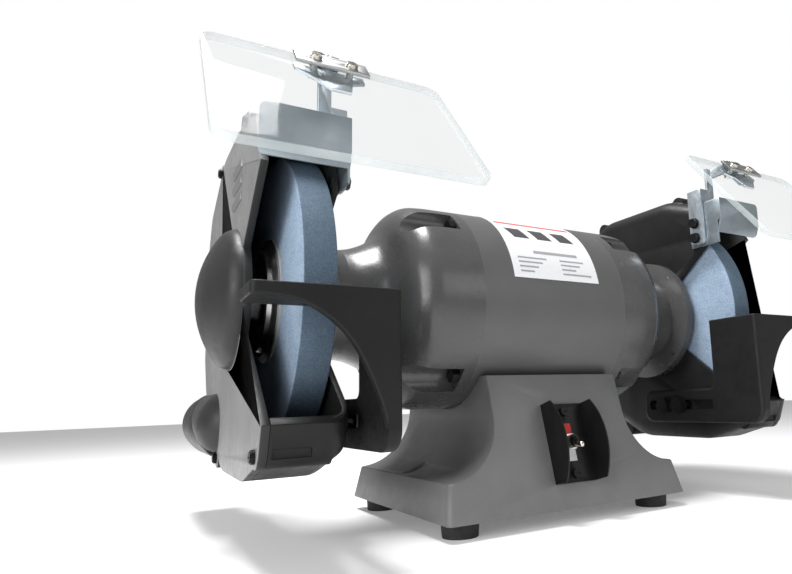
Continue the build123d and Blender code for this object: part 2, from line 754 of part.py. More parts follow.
def guard_housing():
    """Inner half of the wheel guard: wall against the bell, rim, and the dust outlet."""
    body = guard_slab(0, GUARD_IN_X, COVER_X)
    body = round_inner_edge(body, GUARD_IN_X, INNER_EDGE_R)
    cavity = guard_slab(RIM_T, GUARD_IN_X + GUARD_WALL, COVER_X + 5)
    cavity = round_inner_edge(cavity, GUARD_IN_X + GUARD_WALL, INNER_EDGE_R - GUARD_WALL)
    for lobe in lobes(LOBE_R, GUARD_IN_X + 12, COVER_X):
        body += lobe
    front = slab_x(guard_yz([(0, 0), (88.5, 124.5), (113, 116), (160, 90), (160, 0)]),
                   GUARD_IN_X + GUARD_WALL, COVER_X + 5)
    hollow = cavity + front
    for lobe in lobes(LOBE_R - 1, GUARD_IN_X + 12, COVER_X):
        hollow -= lobe
    body = body - hollow
    body -= mouth(GUARD_IN_X - 5, COVER_X + 5)
    outside = port_tube() - guard_slab(RIM_T - 0.5, GUARD_IN_X - 20, COVER_X) - guard_slab(-0.1, COVER_X, 320)
    for lobe in lobes(LOBE_R + 0.1, COVER_X, 320):
        outside -= lobe
    body += outside
    body -= port_bore()
    body -= rod_x(GUARD_HOLE_R, 200, 230)
    for hole in guard_screw_rods(3.2, 210, 230):
        body -= hole
    for sink in guard_screw_cones(0.15):
        body -= sink
    for lobe in lobes(2.4, COVER_X - 18, COVER_X + 1):
        body -= lobe
    for y in REST_BOLTS_Y:
        body += rod_x(REST_BOSS_R, REST_X + REST_SIDE_T + LAYER_GAP, GUARD_IN_X + 1, y, REST_SLOT_Z)
    for y in REST_BOLTS_Y:
        body -= rod_x(REST_BOLT_R + 0.03, REST_X, GUARD_IN_X + GUARD_WALL + 1, y, REST_SLOT_Z)
    for z in BRACKET_SCREWS_Z:
        body -= rod_x(BRACKET_SCREW_R + 0.03, GUARD_IN_X - 1, GUARD_IN_X + GUARD_WALL + 1, BRACKET_Y, z)
    recess = block(246, 272, -150, -130.5 - 0.2, 78, 84.5)
    return body - recess


def round_inner_edge(body, x, radius):
    """Round the edge between the wall and the rim, except along the mouth."""
    edges = []
    for edge in body.edges():
        c = edge.center()
        u = -c.Y
        w = c.Z - SHAFT_Z
        if abs(c.X - x) < 0.01 and abs(edge.tangent_at(0.5).X) < 0.01:
            at_mouth = u > 96 and w > -104
            if not at_mouth:
                edges.append(edge)
    return fillet(edges, radius)


def guard_screw_cones(grow):
    cones = []
    for i in range(4):
        cone = Pos(GUARD_IN_X + GUARD_WALL - 1.7 + grow / 2, 0, SHAFT_Z + GUARD_SCREW_R) * Rot(0, 90, 0)
        cone = cone * Cone(3.0 + grow, 6.2 + grow, 3.2)
        cones.append(around(cone, 45 + i * 90))
    return cones


def guard_mount_screws():
    screws = []
    for cone, shank in zip(guard_screw_cones(0), guard_screw_rods(2.9, 209.0, GUARD_IN_X + 3)):
        screw = cone + shank
        screws += [screw, flip(screw)]
    return group(screws)


def polar(x, y, r, angle):
    """Point at a distance and an angle in radians from (x, y)."""
    return (x + r * math.cos(angle), y + r * math.sin(angle))


def dome(inset, x0):
    """Spherical cap with a rounded shoulder over the spindle nut, on a short cylinder that starts at x0."""
    base_x = COVER_X + COVER_T - DOME_SINK
    radius = DOME_R - inset
    rise = DOME_H + DOME_SINK - inset
    shoulder = DOME_SHOULDER - inset
    side = radius - shoulder
    cap = (side ** 2 + rise ** 2 - shoulder ** 2) / (2 * (rise - shoulder))
    cap_x = base_x + rise - cap
    half = math.asin(side / (cap - shoulder))
    mid = (half + math.pi / 2) / 2
    join = polar(cap_x, 0, cap, half)
    with BuildSketch(Plane.XY) as section:
        with BuildLine():
            ThreePointArc((base_x, radius), polar(base_x, side, shoulder, mid), join)
            ThreePointArc(join, polar(cap_x, 0, cap, half / 2), (base_x + rise, 0))
            Polyline((base_x + rise, 0), (x0, 0), (x0, radius), (base_x, radius))
        make_face()
    return Pos(0, 0, SHAFT_Z) * revolve(section.sketch, Axis.X, 360)


def guard_cover():
    """Outer half of the wheel guard: plate, spindle dome and the bulge over the dust outlet."""
    x1 = COVER_X + COVER_T
    plate = guard_slab(0, COVER_X, x1)
    for lobe in lobes(LOBE_R, COVER_X, x1):
        plate += lobe
    plate -= mouth(COVER_X - 5, x1 + 5)
    plate -= rod_x(DOME_R - DOME_T / 2, COVER_X - 5, x1 + 5)
    plate += dome(0, COVER_X) - dome(DOME_T, COVER_X - 1)
    plate += port_tube() & guard_slab(0, COVER_X, 320)
    plate -= port_bore()
    for lobe in lobes(2.7, COVER_X - 5, x1 + 5):
        plate -= lobe
    for spot in lobes(SCREW_SPOT_R, x1, x1 + 30):
        plate -= spot
    return plate


def guard_cover_screws():
    """Pan head screws with a cross recess, on the lobes of both covers."""
    screws = []
    x1 = COVER_X + COVER_T
    for u, w in COVER_LOBES:
        y = -u
        z = SHAFT_Z + w
        screw = rod_x(5.0, x1 + 0.02, x1 + 2.6, y, z) + rod_x(4.0, x1 + 2.6, x1 + 3.6, y, z)
        screw += rod_x(2.35, COVER_X - 15, x1 + 1, y, z)
        screw -= block(x1 + 2.0, x1 + 5, y - 2.8, y + 2.8, z - 0.5, z + 0.5)
        screw -= block(x1 + 2.0, x1 + 5, y - 0.5, y + 0.5, z - 2.8, z + 2.8)
        screws += [screw, flip(screw)]
    return group(screws)


# ---------------------------------------------------------------- tool rests

def within(edge, x=None, y=None, z=None):
    """True if the whole edge lies on the given planes."""
    box = edge.bounding_box()
    for value, low, high in ((x, box.min.X, box.max.X), (y, box.min.Y, box.max.Y), (z, box.min.Z, box.max.Z)):
        if value is not None and max(abs(low - value), abs(high - value)) > EDGE_TOL:
            return False
    return True


def rest_blank():
    """The rest before its corners are rounded: table, apron, side plate and arm."""
    side_x = REST_X + REST_SIDE_T
    table_z = REST_TOP_Z - REST_PLATE
    with BuildSketch(Plane.XZ) as face:
        with BuildLine():
            Polyline((REST_TIP_X - 9, table_z), (REST_TIP_X, table_z), (REST_TIP_X, REST_TOP_Z),
                     (REST_X, REST_TOP_Z), (REST_X, REST_LOW_Z), (side_x, REST_LOW_Z), (side_x, 96))
            Spline((side_x, 96), *APRON_CURVE, (REST_TIP_X - 9, table_z), tangents=[(0.12, 1), (1, 0.06)])
        make_face()
    blank = Pos(0, REST_FRONT_Y + REST_APRON, 0) * extrude(face.sketch, REST_APRON)
    blank += block(REST_X, REST_TIP_X, REST_FRONT_Y, REST_BACK_Y, table_z, REST_TOP_Z)
    blank += block(REST_X, side_x, REST_FRONT_Y, REST_POST_Y, REST_LOW_Z, REST_TOP_Z)
    return blank + block(REST_X, side_x, REST_POST_Y - 1, REST_END_Y, REST_LOW_Z, REST_ARM_Z)


def tool_rest():
    """Cast rest with a table, a curved apron, a side plate and a slotted arm."""
    side_x = REST_X + REST_SIDE_T
    table_z = REST_TOP_Z - REST_PLATE
    back_y = REST_FRONT_Y + REST_APRON
    body = rest_blank()
    upright = body.edges().filter_by(Axis.Z)
    body = fillet(upright.filter_by(lambda e: within(e, x=REST_TIP_X)), REST_TIP_R)
    across = body.edges().filter_by(Axis.X)
    body = fillet(across.filter_by(lambda e: within(e, y=REST_POST_Y, z=REST_ARM_Z)), REST_POST_R)
    across = body.edges().filter_by(Axis.X)
    body = fillet(across.filter_by(lambda e: within(e, y=REST_END_Y)), REST_END_R)
    across = body.edges().filter_by(Axis.X)
    body = fillet(across.filter_by(lambda e: within(e, y=REST_FRONT_Y, z=REST_LOW_Z)), REST_FRONT_R)
    upright = body.edges().filter_by(Axis.Z)
    body = fillet(upright.filter_by(lambda e: within(e, x=REST_X, y=REST_FRONT_Y)), REST_TIP_R)
    body = fillet(body.edges().filter_by(lambda e: within(e, z=REST_TOP_Z)), CAST_EDGE)
    behind = body.edges().filter_by(lambda e: within(e, y=back_y) and e.length > 20)
    behind = behind.filter_by(lambda e: not within(e, x=side_x))
    body = fillet(behind, CAST_EDGE)
    under = body.edges().filter_by(lambda e: within(e, z=table_z) and e.center().Y > REST_BACK_Y - 3)
    body = fillet(under, CAST_EDGE)
    y0, y1 = REST_SLOT_Y
    z0 = REST_SLOT_Z - REST_SLOT_R
    z1 = REST_SLOT_Z + REST_SLOT_R
    slot = block(REST_X - 5, side_x + 5, y0, y1 - REST_SLOT_R, z0, z1)
    slot += rod_x(REST_SLOT_R, REST_X - 5, side_x + 5, y1 - REST_SLOT_R, REST_SLOT_Z)
    return body - slot


def tool_rest_bolts():
    """Hex bolts and washers that clamp the slotted arms to the guards."""
    bolts = []
    for y in REST_BOLTS_Y:
        washer = rod_x(10, REST_X - 2.3, REST_X - 0.3, y, REST_SLOT_Z)
        bolt = hex_x(16, REST_X - 8.7, REST_X - 2.3, y, REST_SLOT_Z)
        bolt += rod_x(REST_BOLT_R, REST_X - 3, GUARD_IN_X + GUARD_WALL, y, REST_SLOT_Z)
        bolt += washer
        bolts += [bolt, flip(bolt)]
    return group(bolts)


# ---------------------------------------------------------------- deflectors and shields

def spark_deflector():
    """Bent sheet in front of the guard's upper lip, with a slotted side flange."""
    y0 = DEFLECTOR_Y - DEFLECTOR_T
    flange_x1 = GUARD_IN_X - LAYER_GAP
    flange_x0 = flange_x1 - DEFLECTOR_T
    front = block(flange_x0, DEFLECTOR_X, y0, DEFLECTOR_Y, DEFLECTOR_BEND_Z, DEFLECTOR_TOP_Z)
    top = front.edges().filter_by(Axis.Y).sort_by(Axis.Z)[-2:].sort_by(Axis.X)[-1:]
    front = fillet(top, FOLD_R)
    lean = 0.35 * DEFLECTOR_LIP
    lip_z = DEFLECTOR_BEND_Z - DEFLECTOR_LIP
    lip = slab_x([(y0, DEFLECTOR_BEND_Z), (DEFLECTOR_Y, DEFLECTOR_BEND_Z), (DEFLECTOR_Y + lean, lip_z),
                  (y0 + lean, lip_z)], flange_x0, DEFLECTOR_X)
    corner = block(DEFLECTOR_X - FOLD_R, DEFLECTOR_X + 1, y0 - 5, DEFLECTOR_Y + 9, lip_z - 1, lip_z + FOLD_R)
    corner -= rod_y(FOLD_R, y0 - 6, DEFLECTOR_Y + 10, DEFLECTOR_X - FOLD_R, lip_z + FOLD_R)
    lip -= corner
    flange = block(flange_x0, flange_x1, y0 + lean, BRACKET_Y + 10, DEFLECTOR_FLANGE_Z, DEFLECTOR_TOP_Z)
    flange += block(flange_x0, flange_x1, y0, y0 + lean + 1, DEFLECTOR_BEND_Z, DEFLECTOR_TOP_Z)
    z0 = BRACKET_SCREWS_Z[0]
    z1 = BRACKET_SCREWS_Z[1] + 15
    half = BRACKET_SCREW_R + 0.4
    slot = block(flange_x0 - 1, flange_x1 + 1, BRACKET_Y - half, BRACKET_Y + half, z0, z1)
    for z in (z0, z1):
        slot += rod_x(half, flange_x0 - 1, flange_x1 + 1, BRACKET_Y, z)
    return front + lip + (flange - slot)


def shield_arm():
    """Folded bar from the guard up to the shield's pivot."""
    x1 = GUARD_IN_X - 2 * LAYER_GAP - DEFLECTOR_T
    x0 = x1 - ARM_T
    ear_x1 = EAR_X - LAYER_GAP
    y0 = ARM_Y
    web_z0, web_z1 = ARM_WEB_Z
    leg = block(x0, x1, y0, BRACKET_Y + 8, ARM_FOOT_Z, web_z1)
    leg = fillet(leg.edges().filter_by(Axis.X).sort_by(Axis.Z)[:2], FOLD_R)
    web = slab_y([(x0, web_z0), (GUARD_IN_X + 1, web_z0), (GUARD_IN_X + 1, ARM_LOW_Z), (ARM_BAR_X, ARM_LOW_Z),
                  (ear_x1, ARM_LOW_Z + 12), (ear_x1, ARM_TOP_Z), (ARM_BAR_X, ARM_TOP_Z),
                  (ARM_BAR_X, web_z1), (x0, web_z1)], y0, y0 + ARM_T)
    ear = block(ear_x1 - EAR_T, ear_x1, PIVOT_Y, y0 + ARM_T, PIVOT_Z - EAR_R, PIVOT_Z + EAR_R - 1.5)
    ear += rod_x(EAR_R, ear_x1 - EAR_T, ear_x1, PIVOT_Y, PIVOT_Z)
    arm = leg + web + ear
    arm -= rod_x(PIVOT_R + 0.02, ear_x1 - 10, ear_x1 + 5, PIVOT_Y, PIVOT_Z)
    for z in BRACKET_SCREWS_Z:
        arm -= rod_x(BRACKET_SCREW_R + 0.02, x0 - 1, x1 + 1, BRACKET_Y, z)
    return arm


def bracket_screws():
    """Hex screws that hold the arm and the deflector to the guard."""
    screws = []
    x0 = GUARD_IN_X - 2 * LAYER_GAP - DEFLECTOR_T - ARM_T
    for z in BRACKET_SCREWS_Z:
        screw = hex_x(10, x0 - 5.5, x0 - 1.5, BRACKET_Y, z) + rod_x(6.2, x0 - 1.5, x0, BRACKET_Y, z)
        screw += rod_x(BRACKET_SCREW_R, x0 - 1, GUARD_IN_X + GUARD_WALL, BRACKET_Y, z)
        screws += [screw, flip(screw)]
    return group(screws)


def shield_place():
    """Local frame at the shield's upper front edge: X across, Y down the shield, Z out of its front."""
    dy = SHIELD_LOW[0] - SHIELD_TOP[0]
    dz = SHIELD_LOW[1] - SHIELD_TOP[1]
    length = math.hypot(dy, dz)
    outward = (0, dz / length, -dy / length)
    plane = Plane(origin=(0, SHIELD_TOP[0], SHIELD_TOP[1]), x_dir=(-1, 0, 0), z_dir=outward)
    return plane.location, length


def shield_block(x0, x1, t0, t1, n0, n1):
    """Block in the shield's frame: across, down from the top edge, and out from the front face."""
    place, _ = shield_place()
    box = Pos(-(x0 + x1) / 2, (t0 + t1) / 2, (n0 + n1) / 2) * Box(x1 - x0, t1 - t0, n1 - n0)
    return place * box


def shield_rods(r, n0, n1):
    place, _ = shield_place()
    return [place * Pos(-x, 6.5, (n0 + n1) / 2) * Cylinder(r, n1 - n0) for x in STRIP_SCREWS_X]


def eye_shield():
    """Clear window with rounded corners."""
    place, length = shield_place()
    x0, x1 = SHIELD_X
    pane = Box(x1 - x0, length, SHIELD_T)
    pane = fillet(pane.edges().filter_by(Axis.Z), 11)
    pane = place * Pos(-(x0 + x1) / 2, length / 2, -SHIELD_T / 2) * pane
    for hole in shield_rods(2.6, -10, 10):
        pane -= hole
    return pane


def shield_clamp_strip():
    strip = shield_block(STRIP_X[0], STRIP_X[1], -3.0, 15.0, 0.05, 2.55)
    for hole in shield_rods(2.6, -10, 10):
        strip -= hole
    return strip


def shield_bracket():
    """Plate behind the window that narrows downward, with an ear up to the pivot."""
    place, _ = shield_place()
    x0 = STRIP_X[0] + 1
    x1 = STRIP_X[1] - 1
    outline = [(x0, 2), (x1, 2), (x1, 11), (256, 17), (241, 34), (226, 34), (222, 17), (x0, 11)]
    face = make_face(Polyline(*[(-x, t, 0) for x, t in outline], close=True))
    plate = place * Pos(0, 0, -SHIELD_T - 2.55) * extrude(face, 2.5, dir=(0, 0, 1))
    ear = shield_block(EAR_X, EAR_X + EAR_T, -10.0, 18.0, -SHIELD_T - 8.0, -SHIELD_T - 0.05)
    ear += rod_x(EAR_R, EAR_X, EAR_X + EAR_T, PIVOT_Y, PIVOT_Z)
    bracket = plate + ear
    bracket -= rod_x(PIVOT_R + 0.08, EAR_X - 5, EAR_X + EAR_T + 5, PIVOT_Y, PIVOT_Z)
    for hole in shield_rods(2.6, -20, 10):
        bracket -= hole
    return bracket


def shield_screws():
    """Pan head screws and nuts through the strip, window and bracket."""
    screws = []
    back = -SHIELD_T - 2.55
    parts = zip(shield_rods(4.6, 2.56, 4.6), shield_rods(3.8, 4.6, 5.5), shield_rods(2.5, back - 5, 3),
                shield_rods(4.3, back - 3.3, back - 0.02))
    for head, crown, shank, nut in parts:
        screws.append(head + crown + shank + nut)
    shape = group(screws)
    for x in STRIP_SCREWS_X:
        shape -= shield_block(x - 2.6, x + 2.6, 6.0, 7.0, 4.2, 7)
        shape -= shield_block(x - 0.5, x + 0.5, 3.9, 9.1, 4.2, 7)
    return shape


def shield_pivot_knobs():
    """Black fluted knob, pivot bolt and lock nut at each shield."""
    x0 = EAR_X + EAR_T + LAYER_GAP
    knob = rod_x(KNOB_R, x0, x0 + KNOB_LENGTH, PIVOT_Y, PIVOT_Z)
    knob = chamfer(knob.edges().filter_by(GeomType.CIRCLE), 1.2)
    for i in range(8):
        a = math.radians(i * 45)
        flute_y = PIVOT_Y + (KNOB_R + 0.5) * math.cos(a)
        flute_z = PIVOT_Z + (KNOB_R + 0.5) * math.sin(a)
        flute = rod_x(1.3, x0 - 1, x0 + KNOB_LENGTH + 1, flute_y, flute_z)
        knob -= flute
    ear_x0 = EAR_X - LAYER_GAP - EAR_T
    bolt = rod_x(PIVOT_R, ear_x0 - 7, x0 + 2, PIVOT_Y, PIVOT_Z)
    nut = hex_x(10, ear_x0 - 5, ear_x0, PIVOT_Y, PIVOT_Z)
    whole = knob + bolt + nut
    return group([whole, flip(whole)])


# ---------------------------------------------------------------- assembly

def pairs():
    """Pieces that exist on both sides, drawn on the right."""
    return {
        "end_bell": end_bell(),
        "grinding_wheel": grinding_wheel(),
        "inner_flange": inner_flange(),
        "outer_flange": outer_flange(),
        "guard_housing": guard_housing(),
        "guard_cover": guard_cover(),
        "tool_rest": tool_rest(),
        "spark_deflector": spark_deflector(),
        "shield_arm": shield_arm(),
        "eye_shield": eye_shield(),
        "shield_clamp_strip": shield_clamp_strip(),
        "shield_bracket": shield_bracket(),
        "shield_screws": shield_screws(),
    }


def singles():
    """Pieces that exist once, and groups of identical fasteners."""
    return {
        "base_casting": base_casting(),
        "bottom_plate": bottom_plate(),
        "rubber_feet": rubber_feet(),
        "foot_screws": foot_screws(),
        "motor_mount_screws": motor_mount_screws(),
        "motor_barrel": motor_barrel(),
        "end_bell_bolts": bell_bolts(),
        "stator_core": stator_core(),
        "stator_windings": stator_windings(),
        "nameplate": nameplate(),
        "start_capacitor": capacitor(),
        "capacitor_strap": capacitor_strap(),
        "start_switch_plate": start_switch_plate(),
        "power_inlet_gland": power_gland(),
        "switch_guard_plate": switch_guard_plate(),
        "switch_body": switch_body(),
        "switch_legend_plate": switch_legend(),
        "switch_nut": switch_nut(),
        "switch_toggle": switch_toggle(),
        "switch_plate_screws": switch_plate_screws(),
        "spindle_shaft": spindle_shaft(),
        "rotor_core": rotor_core(),
        "start_switch_governor": start_switch_governor(),
        "bearing_outer_rings": bearing_outer(),
        "bearing_inner_rings": bearing_inner(),
        "bearing_balls": bearing_balls(),
        "bearing_wave_washer": bearing_wave_washer(),
        "wheel_blotters": wheel_blotters(),
        "spindle_nuts": spindle_nuts(),
        "guard_cover_screws": guard_cover_screws(),
        "guard_mount_screws": guard_mount_screws(),
        "tool_rest_bolts": tool_rest_bolts(),
        "guard_bracket_screws": bracket_screws(),
        "shield_pivot_knobs": shield_pivot_knobs(),
    }


os.makedirs("parts", exist_ok=True)
for name, shape in singles().items():
    export_step(shape, f"parts/{name}.step")
for name, shape in pairs().items():
    export_step(shape, f"parts/right_{name}.step")
    export_step(flip(shape), f"parts/left_{name}.step")
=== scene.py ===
import json
import math

import bmesh
import bpy
from mathutils import Matrix, Vector

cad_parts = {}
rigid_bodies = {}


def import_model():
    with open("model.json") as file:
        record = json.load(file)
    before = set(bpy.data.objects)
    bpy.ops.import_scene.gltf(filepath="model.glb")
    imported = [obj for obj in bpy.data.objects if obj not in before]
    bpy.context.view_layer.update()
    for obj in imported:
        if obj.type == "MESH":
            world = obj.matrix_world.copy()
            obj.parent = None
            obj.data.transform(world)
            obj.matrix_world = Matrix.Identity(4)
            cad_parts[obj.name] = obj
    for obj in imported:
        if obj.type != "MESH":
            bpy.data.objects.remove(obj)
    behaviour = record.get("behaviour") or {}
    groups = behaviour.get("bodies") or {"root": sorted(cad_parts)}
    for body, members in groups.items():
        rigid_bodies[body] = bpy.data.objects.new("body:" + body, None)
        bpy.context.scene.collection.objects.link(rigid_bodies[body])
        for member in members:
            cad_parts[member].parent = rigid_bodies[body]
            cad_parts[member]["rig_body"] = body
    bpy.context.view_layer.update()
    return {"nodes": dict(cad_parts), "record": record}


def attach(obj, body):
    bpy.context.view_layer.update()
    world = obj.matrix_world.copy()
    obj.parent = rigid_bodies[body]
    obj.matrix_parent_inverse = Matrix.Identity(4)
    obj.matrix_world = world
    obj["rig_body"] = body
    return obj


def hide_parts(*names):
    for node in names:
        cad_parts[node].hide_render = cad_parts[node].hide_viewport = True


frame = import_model()
nodes = frame["nodes"]

# Lengths are in metres, angles in degrees and light powers in watts.
SHAFT_Z = 0.2068
WHEEL_R = 0.127
DOME_R = 0.061             # edge of the dome on a guard cover
COVER_FACE = 0.2815        # outer face of a guard cover
LEGEND_SPLIT_Z = 0.07      # the switch legend is red above this height
TOOL_LINES = 9000.0        # radians of tool line per metre of radius

WELD = 0.00002             # vertices closer than this are merged before edges are rounded
FLAT_ANGLE = 0.6           # faces that turn less than this become one
SMOOTH_ANGLE = 34.0        # edges sharper than this stay sharp in the shading
BEVEL_SEGMENTS = 2
FACE_ALIGNMENT = 0.995     # cosine: a window face nearer than this to the largest one's normal is clear

FILM_X = 0.051             # half the nameplate's width
FILM_ANGLES = (11.0, 78.0)
FILM_R = 0.10102
FILM_T = 0.00032
LABEL_R = 0.1014           # just outside the nameplate's face
LABEL_INK = 0.00006
BAND_ANGLES = (55.4, 58.2)
MARK_X = -0.036            # left end of the first slanted bar
MARK_STEP = 0.028
MARK_WIDTH = 0.018
MARK_ANGLES = (39.5, 49.0)
MARK_LEAN = 0.006
TITLE_ANGLES = (27.2, 29.2)
PRINT_ROWS = 4
PRINT_ANGLE = 23.2         # lower edge of the first row of print
PRINT_STEP = 2.9
PRINT_HEIGHT = 1.0
PRINT_SHORTER = 0.006      # rows differ in length by multiples of this
PRINT_COLUMNS = (("left", -0.043, 0.034), ("right", 0.007, 0.036))

EMBLEM_Y = -0.038          # front end of each raised bar, at its foot
EMBLEM_Z = 0.286
EMBLEM_STEP = 0.0145
EMBLEM_LENGTH = 0.042
EMBLEM_HEIGHT = 0.008
EMBLEM_LEAN = 0.004
EMBLEM_T = 0.0014
EMBLEM_LAYERS = ((-0.0003, 0.0), (0.0006, 0.0), (EMBLEM_T, 0.0005))    # depth and inset of each ring

EYE = (-0.36278, -0.57483, 0.11163)
YAW = 32.23
PITCH = 8.75
ROLL = -2.07
LENS = 28.09
SENSOR = 36.0
SHIFT = (-0.138, 0.023)

AMBIENT = 0.36
FLOOR_GLOW = 0.15
FLOOR_REACH = 6.0
LIGHTS = (                 # name, place, target, size and power
    ("key", (-1.75, -1.0, 0.75), (-0.1, 0, 0.18), (1.1, 1.1), 26),
    ("top", (-0.35, 0.1, 1.6), (0, 0, 0.15), (0.8, 0.45), 42),
    ("front", (0.9, -1.9, 0.9), (0, 0, 0.18), (1.2, 0.8), 5),
)


# ---------------------------------------------------------------- shader helper

class Shader:
    """One material's node tree, with short calls for the nodes used here."""

    def __init__(self, name, roughness=0.5, metallic=0.0, specular=0.5):
        self.material = bpy.data.materials.new(name)
        self.material.use_nodes = True
        self.tree = self.material.node_tree
        self.bsdf = self.tree.nodes["Principled BSDF"]
        self.bsdf.inputs["Roughness"].default_value = roughness
        self.bsdf.inputs["Metallic"].default_value = metallic
        self.bsdf.inputs["Specular IOR Level"].default_value = specular
        self.place = self.add("ShaderNodeTexCoord").outputs["Object"]

    def add(self, kind, **settings):
        node = self.tree.nodes.new(kind)
        for key, value in settings.items():
            setattr(node, key, value)
        return node

    def link(self, output, target):
        self.tree.links.new(output, target)

    def stretched(self, scale):
        node = self.add("ShaderNodeMapping")
        node.inputs["Scale"].default_value = scale
        self.link(self.place, node.inputs["Vector"])
        return node.outputs["Vector"]

    def noise(self, scale, detail=3.0, roughness=0.5, place=None):
        node = self.add("ShaderNodeTexNoise")
        node.inputs["Scale"].default_value = scale
        node.inputs["Detail"].default_value = detail
        node.inputs["Roughness"].default_value = roughness
        self.link(place or self.place, node.inputs["Vector"])
        return node.outputs["Fac"]

    def cells(self, scale, output="Distance"):
        node = self.add("ShaderNodeTexVoronoi", feature="F1")
        node.inputs["Scale"].default_value = scale
        self.link(self.place, node.inputs["Vector"])
        return node.outputs[output]

    def span(self, value, from_low, from_high, to_low, to_high):
        node = self.add("ShaderNodeMapRange", clamp=True)
        keys = ("From Min", "From Max", "To Min", "To Max")
        for key, number in zip(keys, (from_low, from_high, to_low, to_high)):
            node.inputs[key].default_value = number
        self.link(value, node.inputs["Value"])
        return node.outputs["Result"]

    def math(self, operation, a, b=None):
        node = self.add("ShaderNodeMath", operation=operation)
        for socket, value in zip(node.inputs, (a, b)):
            if value is None:
                continue
            if isinstance(value, (int, float)):
                socket.default_value = value
            else:
                self.link(value, socket)
        return node.outputs["Value"]

    def blend(self, factor, first, second):
        node = self.add("ShaderNodeMix", data_type="RGBA")
        self.link(factor, node.inputs["Factor"])
        for key, value in ((6, first), (7, second)):
            if isinstance(value, tuple):
                node.inputs[key].default_value = (*value, 1.0)
            else:
                self.link(value, node.inputs[key])
        return node.outputs[2]

    def axis(self, name):
        node = self.add("ShaderNodeSeparateXYZ")
        self.link(self.place, node.inputs[0])
        return node.outputs[name]

    def radius(self):
        """Distance from the shaft's axis."""
        shift = self.add("ShaderNodeVectorMath", operation="SUBTRACT")
        self.link(self.place, shift.inputs[0])
        shift.inputs[1].default_value = (0, 0, SHAFT_Z)
        flat = self.add("ShaderNodeVectorMath", operation="MULTIPLY")
        self.link(shift.outputs[0], flat.inputs[0])
        flat.inputs[1].default_value = (0, 1, 1)
        size = self.add("ShaderNodeVectorMath", operation="LENGTH")
        self.link(flat.outputs[0], size.inputs[0])
        return size.outputs["Value"]

    def color(self, value):
        if isinstance(value, tuple):
            self.bsdf.inputs["Base Color"].default_value = (*value, 1.0)
        else:
            self.link(value, self.bsdf.inputs["Base Color"])

    def rough(self, value):
        self.link(value, self.bsdf.inputs["Roughness"])

    def bump(self, height, strength, depth):
        node = self.add("ShaderNodeBump")
        node.inputs["Strength"].default_value = strength
        node.inputs["Distance"].default_value = depth
        self.link(height, node.inputs["Height"])
        self.link(node.outputs["Normal"], self.bsdf.inputs["Normal"])


def grey(level):
    return (level, level, level)


# ---------------------------------------------------------------- materials

def cast_paint(name, dark, light, rough_low, rough_high, pebble=0.35, depth=0.0004, specular=0.5):
    """Satin paint on a sand casting: soft pebbles, slight mottling and uneven sheen."""
    s = Shader(name, specular=specular)
    broad = s.noise(22.0, 3.0, 0.55)
    fine = s.noise(1400.0, 2.0, 0.6)
    mottle = s.math("ADD", s.math("MULTIPLY", broad, 0.6), s.math("MULTIPLY", fine, 0.4))
    s.color(s.blend(s.span(mottle, 0.32, 0.68, 0.0, 1.0), dark, light))
    s.rough(s.span(s.noise(90.0, 4.0, 0.6), 0.3, 0.7, rough_low, rough_high))
    swell = s.noise(620.0, 3.0, 0.55)
    waves = s.noise(95.0, 2.0, 0.5)
    height = s.math("ADD", swell, s.math("MULTIPLY", waves, 0.9))
    s.bump(height, pebble, depth)
    return s


def cover_paint():
    """Painted light on one grey paint: the flat face is mid grey as if a light from the left caught it, and
    the dome, the outlet and the edges are much darker as painted shade.
    """
    s = Shader("cover_paint", specular=0.3)
    across = s.math("ABSOLUTE", s.axis("X"))
    reached = s.span(across, COVER_FACE - 0.0008, COVER_FACE - 0.0002, 0.0, 1.0)
    not_passed = s.span(across, COVER_FACE + 0.0002, COVER_FACE + 0.0006, 1.0, 0.0)
    flat = s.math("MULTIPLY", reached, not_passed)
    outside = s.span(s.radius(), DOME_R - 0.0002, DOME_R + 0.0004, 0.0, 1.0)
    # face: the flat of the cover outside the dome, which gets the painted light
    face = s.math("MULTIPLY", flat, outside)
    mottle = s.noise(26.0, 4.0, 0.6)
    # light is the painted light on the flat face; dark is the painted shade on the dome, the outlet and the
    # edges
    light = s.blend(s.span(mottle, 0.3, 0.7, 0.0, 1.0), grey(0.15), grey(0.19))
    dark = s.blend(s.span(mottle, 0.3, 0.7, 0.0, 1.0), grey(0.017), grey(0.023))
    s.color(s.blend(face, dark, light))
    s.rough(s.span(s.noise(120.0, 4.0, 0.6), 0.3, 0.7, 0.34, 0.5))
    s.bump(s.math("ADD", s.noise(800.0, 3.0, 0.55), s.noise(90.0, 2.0, 0.5)), 0.3, 0.00035)
    return s


def abrasive():
    """Blue-grey vitrified grain; the rim is darker than the faces."""
    s = Shader("abrasive", specular=0.35)
    grain = s.cells(1500.0, output="Color")
    tone = s.add("ShaderNodeSeparateColor")
    s.link(grain, tone.inputs[0])
    crystals = s.math("MULTIPLY", tone.outputs[0], 0.75)
    clouds = s.math("MULTIPLY", s.noise(60.0, 4.0, 0.6), 0.5)
    speck = s.span(s.math("ADD", crystals, clouds), 0.1, 1.1, 0.0, 1.0)
    rim = s.span(s.radius(), WHEEL_R - 0.0008, WHEEL_R - 0.0002, 0.0, 1.0)
    face_color = s.blend(speck, (0.125, 0.185, 0.27), (0.34, 0.43, 0.54))
    rim_color = s.blend(speck, (0.05, 0.085, 0.125), (0.12, 0.165, 0.22))
    s.color(s.blend(rim, face_color, rim_color))
    s.rough(s.span(s.noise(900.0, 2.0, 0.5), 0.3, 0.7, 0.72, 0.92))
    s.bump(s.cells(1300.0), 0.55, 0.0004)
    return s


